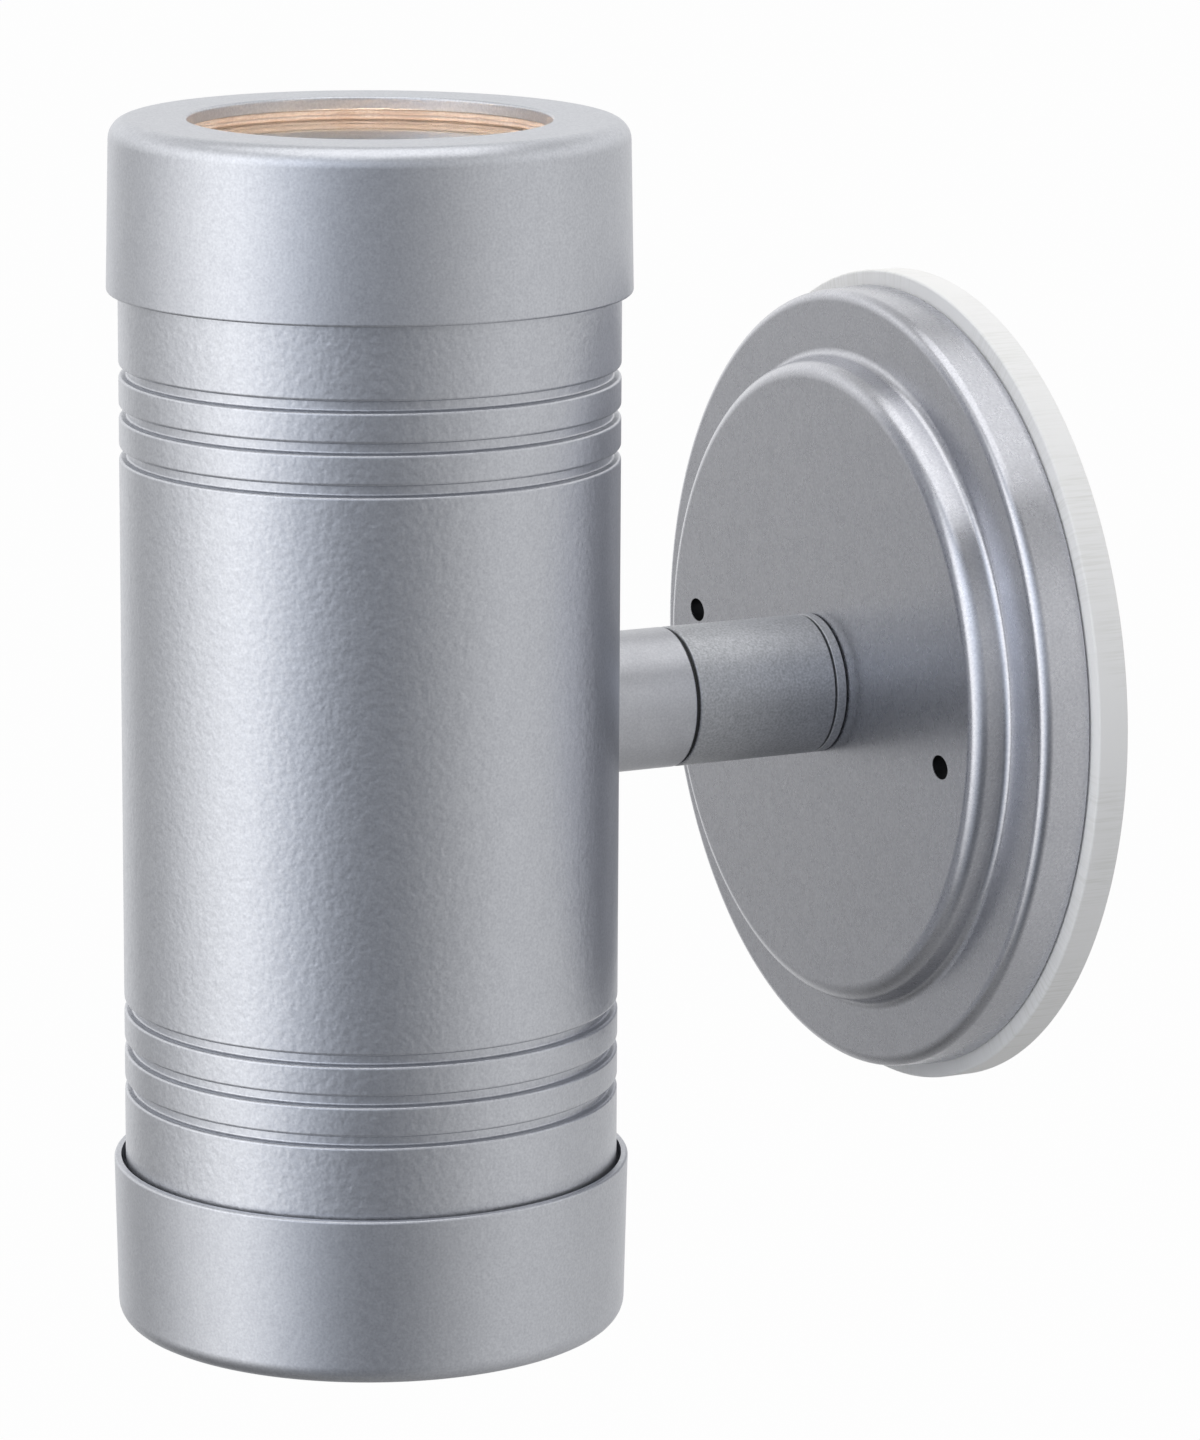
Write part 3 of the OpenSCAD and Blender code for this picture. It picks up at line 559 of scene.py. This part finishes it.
for place in holePlaces:
    bmesh.ops.create_cone(
        bm, cap_ends=True, segments=40, radius1=canopy["holeRadius"] * mm, radius2=canopy["holeRadius"] * mm,
        depth=drillLong * mm, matrix=place @ Matrix.Translation((0, 0, drillOut * mm)),
    )
drillMesh = bpy.data.meshes.new("drill")
bm.to_mesh(drillMesh)
bm.free()
drill = bpy.data.objects.new("drill", drillMesh)
scene.collection.objects.link(drill)
cut = canopySkin.modifiers.new("holes", "BOOLEAN")
cut.operation = "DIFFERENCE"
cut.object = drill
canopySkin.modifiers.move(1, 0)
bpy.context.view_layer.update()
pierced = bpy.data.meshes.new_from_object(canopySkin.evaluated_get(bpy.context.evaluated_depsgraph_get()))
canopySkin.modifiers.clear()
canopySkin.data = pierced
bpy.data.objects.remove(drill)

# The punch drew each screw hole down into a lip behind the sheet; the lip's wall is coloured near black, as
# painted shade inside the holes
for place, name in zip(holePlaces, ("leftHoleLip", "rightHoleLip")):
    wall, face = canopy["holeRadius"], canopy["top"][1]
    inner, outer, seated = wall - canopy["lipStep"], wall + canopy["lipWall"], wall - 0.01
    bm = spinOutline([
        (inner, face - canopy["lipDepth"], 0.1), (outer, face - canopy["lipDepth"], 0.1),
        (outer, face - sheet + 0.02), (seated, face - sheet + 0.02), (seated, face - canopy["lipBelow"]),
        (inner, face - canopy["lipBelow"]),
    ], steps=40, arc=3)
    addPiece(name, bm, place, holeShadeSteel, "wall_base")

wallGasket = {"outer": 63.5, "inner": 51.5, "depth": 5.0, "bevel": 0.4}
bm = spinOutline([
    (wallGasket["inner"], 0), (wallGasket["outer"], 0, 0.25),
    (wallGasket["outer"], wallGasket["depth"], wallGasket["bevel"]),
    (wallGasket["inner"], wallGasket["depth"]),
], steps=224, arc=4)
addPiece("foamRing", bm, onWall, foam, "wall_base", ["wall_gasket"])

arm = {
    "radius": 10.81, "bore": 5.05, "ring": (18.4, 20.6), "collar": (20.6, 44.0), "seam": 0.38, "seamDepth": 1.3,
    "rootSeam": 0.24,
}
seamRadius = arm["radius"] - arm["seamDepth"]
bm = spinOutline([
    (arm["bore"], arm["ring"][0]), (seamRadius, arm["ring"][0]), (seamRadius, arm["ring"][0] + arm["rootSeam"]),
    (arm["radius"], arm["ring"][0] + arm["rootSeam"], 0.12),
    (arm["radius"], arm["ring"][1] - arm["seam"], 0.16), (seamRadius, arm["ring"][1] - arm["seam"]),
    (seamRadius, arm["ring"][1]), (arm["bore"], arm["ring"][1]),
], steps=128, arc=4)
addPiece("armRing", bm, onWall, armPaint, "wall_base", ["arm_trim_ring"])
bm = spinOutline([
    (arm["bore"], arm["collar"][0]), (arm["radius"], arm["collar"][0], 0.15),
    (arm["radius"], arm["collar"][1], 0.3), (arm["bore"], arm["collar"][1]),
], steps=128, arc=4)
addPiece("armSleeve", bm, onWall, armPaint, "wall_base", ["arm_collar"])

print("head")

stub = {"radius": 10.81, "bore": 5.05, "start": 44.6, "headRadius": 37.44, "cut": 60}
bm = spinOutline([
    (stub["bore"], stub["start"]), (stub["radius"], stub["start"], 0.25),
    (stub["radius"], stub["cut"]), (stub["bore"], stub["cut"]),
], steps=128, arc=4)
for vert in bm.verts:  # the far end is saddled to the cylinder of the head
    if vert.co.z > (stub["cut"] - 1) * mm:
        vert.co.z = headOut * mm - math.sqrt((stub["headRadius"] * mm) ** 2 - vert.co.x ** 2)
addPiece("armSaddle", bm, onWall, stubPaint, "head", ["arm_stub"])

# Radii and heights in mm from the head's middle; a groove's own height is that of its middle
housing = {
    "radius": 37.44, "neck": 35.8, "chamber": 32.0, "ledge": 29.0, "ledgeHeight": 16.5, "shoulder": 70.0,
    "neckEnd": 83.65, "grooves": (54.45, 48.3, 42.15, -42.45, -48.6, -54.75), "grooveWidth": 1.6,
    "grooveDepth": 1.3, "upperEdge": 0.5, "lowerEdge": 0.42, "sealHeight": 71.9, "sealWidth": 2.0,
    "sealDepth": 1.95,
}
upper = [
    (housing["ledge"], housing["ledgeHeight"]), (housing["chamber"], housing["ledgeHeight"]),
    (housing["chamber"], housing["neckEnd"]), (housing["neck"], housing["neckEnd"], 0.4),
    (housing["neck"], housing["sealHeight"] + housing["sealWidth"] / 2),
    (housing["neck"] - housing["sealDepth"], housing["sealHeight"] + housing["sealWidth"] / 2),
    (housing["neck"] - housing["sealDepth"], housing["sealHeight"] - housing["sealWidth"] / 2),
    (housing["neck"], housing["sealHeight"] - housing["sealWidth"] / 2),
    (housing["neck"], housing["shoulder"]), (housing["radius"], housing["shoulder"], 0.4),
]
grooved = []
for middle in housing["grooves"]:
    high, low = middle + housing["grooveWidth"] / 2, middle - housing["grooveWidth"] / 2
    grooved += [
        (housing["radius"], high, housing["upperEdge"]), (housing["radius"] - housing["grooveDepth"], high, 0.2),
        (housing["radius"] - housing["grooveDepth"], low, 0.35), (housing["radius"], low, housing["lowerEdge"]),
    ]
lower = [(c[0], -c[1], *c[2:]) for c in reversed(upper)]
bm = spinOutline(upper + grooved + lower, steps=224, arc=5)
addPiece("headTube", bm, onHead, headPaint, "head", ["housing"])

# The upper cap; the lower one is the same, turned over
cap = {
    "skirt": 38.15, "mouth": 39.17, "face": 38.62, "low": 66.3, "high": 91.85, "edge": 3.0, "opening": 27.07,
    "lip": 89.85, "pocket": 35.1, "pocketEnd": 83.95, "bore": 36.1, "boreEnd": 70.5,
}
for end, place in (("top", onHead), ("bottom", turnedOver)):
    bm = spinOutline([
        (cap["skirt"], cap["low"]), (cap["mouth"], cap["low"], 0.4), (cap["face"], cap["high"], cap["edge"]),
        (cap["opening"], cap["high"], 0.4), (cap["opening"], cap["lip"], 0.2), (cap["pocket"], cap["lip"]),
        (cap["pocket"], cap["pocketEnd"]), (cap["bore"], cap["pocketEnd"]), (cap["bore"], cap["boreEnd"]),
        (cap["skirt"], cap["boreEnd"]),
    ], steps=224, arc=8)
    addPiece(end + "CapShell", bm, place, capPaint, end + "_cap", [end + "_cap"])

neckThread = {"root": 35.7, "crest": 36.02, "pitch": 2.0, "low": 73.9, "turns": 4.4, "steps": 96, "flank": 0.55}
nipple = {
    "bore": 3.6, "root": 4.72, "crest": 5.0, "low": 9.6, "high": 74.65, "pitch": 1.0, "steps": 28, "flank": 0.42,
    "start": 0.2, "unthreaded": 1.3,
}


def cutThread(look, low, turns):
    # A ridge of triangular section wound up the core
    bm = bmesh.new()
    corners = [
        bm.verts.new((radius * mm, 0, (low + lift) * mm))
        for radius, lift in ((look["root"], 0), (look["crest"], look["flank"]), (look["root"], 2 * look["flank"]))
    ]
    bm.faces.new(corners)
    steps = round(look["steps"] * turns)
    bmesh.ops.spin(
        bm, geom=bm.faces[:], cent=(0, 0, 0), axis=(0, 0, 1), angle=math.tau * turns, steps=steps,
        use_merge=False, dvec=(0, 0, look["pitch"] * turns * mm / steps),
    )
    bmesh.ops.recalc_face_normals(bm, faces=bm.faces)
    return bm


for end, place in (("top", onHead), ("bottom", turnedOver)):
    bm = cutThread(neckThread, neckThread["low"], neckThread["turns"])
    addPiece(end + "NeckThread", bm, place, headPaint, "head", sharp=20)

bm = spinOutline([
    (nipple["bore"], nipple["low"], 0.15), (nipple["root"], nipple["low"], 0.15),
    (nipple["root"], nipple["high"], 0.15), (nipple["bore"], nipple["high"], 0.15),
], steps=56, arc=3)
addPiece("nippleCore", bm, onWall, brass, "wall_base", ["swivel_nipple"])
bm = cutThread(
    nipple, nipple["low"] + nipple["start"],
    (nipple["high"] - nipple["low"] - nipple["unthreaded"]) / nipple["pitch"],
)
addPiece("nippleThread", bm, onWall, brass, "wall_base", sharp=20)

print("lenses and lamps")

# Both ends again from the head's middle; the bulb's heights start at the reflector's neck
lensSeal = {
    "outer": 34.8, "inner": 27.37, "low": 83.65, "high": 89.85, "lensLow": 85.15, "lensHigh": 88.35,
    "lensRadius": 33.1, "rib": 0.22, "gap": 0.22, "gapDepth": 0.8,
}
lampForm = {
    "face": 81.0, "rim": 25.0, "rimHeight": 2.4, "glassSeat": 23.6, "seatDepth": 1.6, "mouth": 22.2, "neck": 9.6,
    "neckOutside": 11.0, "depth": 27.4, "rings": 9, "facets": 34, "shell": (1.3, 0.7), "rimWall": 2.1,
    "bulb": 4.5, "bulbFoot": 3.15, "bulbHeight": 18.0, "bulbWall": 0.7, "bulbOutside": (0.5, 1.5, 3.4),
    "bulbInside": (0.4, 1.2, 2.7), "coil": 1.05, "coilWire": 0.16, "coilPitch": 0.55, "coilTurns": 10,
    "coilSteps": 14, "coilFrom": 5.5,
}


def bowlProfile(look):
    # Parabola from the mouth down to the neck, in rings of equal height
    mouthArea, neckArea = look["mouth"] ** 2, look["neck"] ** 2
    profile = []
    for ring in range(look["rings"] + 1):
        share = ring / look["rings"]
        radius = math.sqrt(mouthArea + (neckArea - mouthArea) * share)
        profile.append((radius, look["face"] - look["seatDepth"] - (look["depth"] - look["seatDepth"]) * share))
    return profile


for end, place in (("top", onHead), ("bottom", turnedOver)):
    inner, middle = lensSeal["inner"], (lensSeal["lensHigh"] + lensSeal["high"]) / 2
    bm = spinOutline([
        (inner, lensSeal["low"], 0.3), (lensSeal["outer"], lensSeal["low"], 0.3),
        (lensSeal["outer"], lensSeal["high"], 0.3), (inner, lensSeal["high"], 0.25),
        (inner, middle + lensSeal["rib"]), (inner + lensSeal["rib"], middle), (inner, middle - lensSeal["rib"]),
        (inner, lensSeal["lensHigh"] + lensSeal["gap"], 0.08),
        (inner + lensSeal["gapDepth"], lensSeal["lensHigh"] + lensSeal["gap"]),
        (inner + lensSeal["gapDepth"], lensSeal["lensHigh"]), (lensSeal["lensRadius"], lensSeal["lensHigh"]),
        (lensSeal["lensRadius"], lensSeal["lensLow"]), (inner, lensSeal["lensLow"], 0.2),
    ], steps=192, arc=4)
    addPiece(
        end + "LensSeal", bm, place, silicone, end + "_lens_carrier", [end + "_lens_gasket"], sharp=28
    )

    bowl = bowlProfile(lampForm)
    low = lampForm["face"] - lampForm["depth"]
    outside = lampForm["face"] - lampForm["rimHeight"]
    bm = spinOutline(
        bowl[::-1]
        + [
            (lampForm["glassSeat"], lampForm["face"] - lampForm["seatDepth"]),
            (lampForm["glassSeat"], lampForm["face"]), (lampForm["rim"], lampForm["face"]),
            (lampForm["rim"], outside), (lampForm["mouth"] + lampForm["rimWall"], outside),
        ]
        + [(radius + lampForm["shell"][0], height - lampForm["shell"][1]) for radius, height in bowl[1:-1]]
        + [(lampForm["neckOutside"], low)],
        steps=lampForm["facets"], arc=1,
    )
    addPiece(
        end + "FacetedReflector", bm, place, mirrorCoat, end + "_lamp", [end + "_lamp_reflector"],
        sharp=3,
    )

    top, wall, belly = low + lampForm["bulbHeight"], lampForm["bulbWall"], low + lampForm["bulb"]
    footOut, bellyOut, domeOut = lampForm["bulbOutside"]
    footIn, bellyIn, domeIn = lampForm["bulbInside"]
    bm = spinOutline([
        (0, low), (lampForm["bulbFoot"], low, footOut), (lampForm["bulb"], belly, bellyOut),
        (lampForm["bulb"], top, domeOut), (0, top), (0, top - wall),
        (lampForm["bulb"] - wall, top - wall, domeIn), (lampForm["bulb"] - wall, belly, bellyIn),
        (lampForm["bulbFoot"] - wall, low + wall, footIn), (0, low + wall),
    ], steps=48, arc=5)
    bulb = addPiece(end + "LampBulb", bm, place, lampGlass, end + "_lamp", [end + "_lamp_capsule"])
    bulb.visible_shadow = False

    bm = bmesh.new()
    bmesh.ops.create_circle(bm, cap_ends=True, segments=6, radius=lampForm["coilWire"] * mm)
    bmesh.ops.rotate(bm, cent=(0, 0, 0), matrix=Matrix.Rotation(math.pi / 2, 3, "X"), verts=bm.verts)
    bmesh.ops.translate(bm, vec=(lampForm["coil"] * mm, 0, (low + lampForm["coilFrom"]) * mm), verts=bm.verts)
    steps = lampForm["coilSteps"] * lampForm["coilTurns"]
    bmesh.ops.spin(
        bm, geom=bm.faces[:], cent=(0, 0, 0), axis=(0, 0, 1), angle=math.tau * lampForm["coilTurns"],
        steps=steps, use_merge=False, dvec=(0, 0, lampForm["coilPitch"] * lampForm["coilTurns"] * mm / steps),
    )
    bmesh.ops.recalc_face_normals(bm, faces=bm.faces)
    addPiece(end + "Filament", bm, place, hotCoil, end + "_lamp", sharp=40)

print("finishes of the carried pieces")

finishes = (
    (zincSteel, (
        "canopy_washer", "canopy_lock_nut", "swivel_washer", "swivel_lock_nut", "stop_pin", "arm_dowel",
        "top_socket_plate", "bottom_socket_plate", "socket_plate_screws", "lamp_holder_screws",
        "top_lamp_pins", "bottom_lamp_pins",
    )),
    (brass, ("ground_tab", "top_contacts", "bottom_contacts")),
    (greenZinc, ("ground_screw",)),
    (blackRubber, ("swivel_seal", "top_neck_seal", "bottom_neck_seal")),
    (ceramic, ("top_lamp_holder", "bottom_lamp_holder", "top_lamp_base", "bottom_lamp_base")),
    (lensGlass, ("top_lens", "bottom_lens")),
    (lampGlass, ("top_lamp_glass", "bottom_lamp_glass")),
)
for material, names in finishes:
    for name in names:
        for slot in nodes[name].material_slots:
            slot.material = material
        # clear glass lets the lamp's light out
        nodes[name].visible_shadow = material not in (lensGlass, lampGlass)

low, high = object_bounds()
print("done")
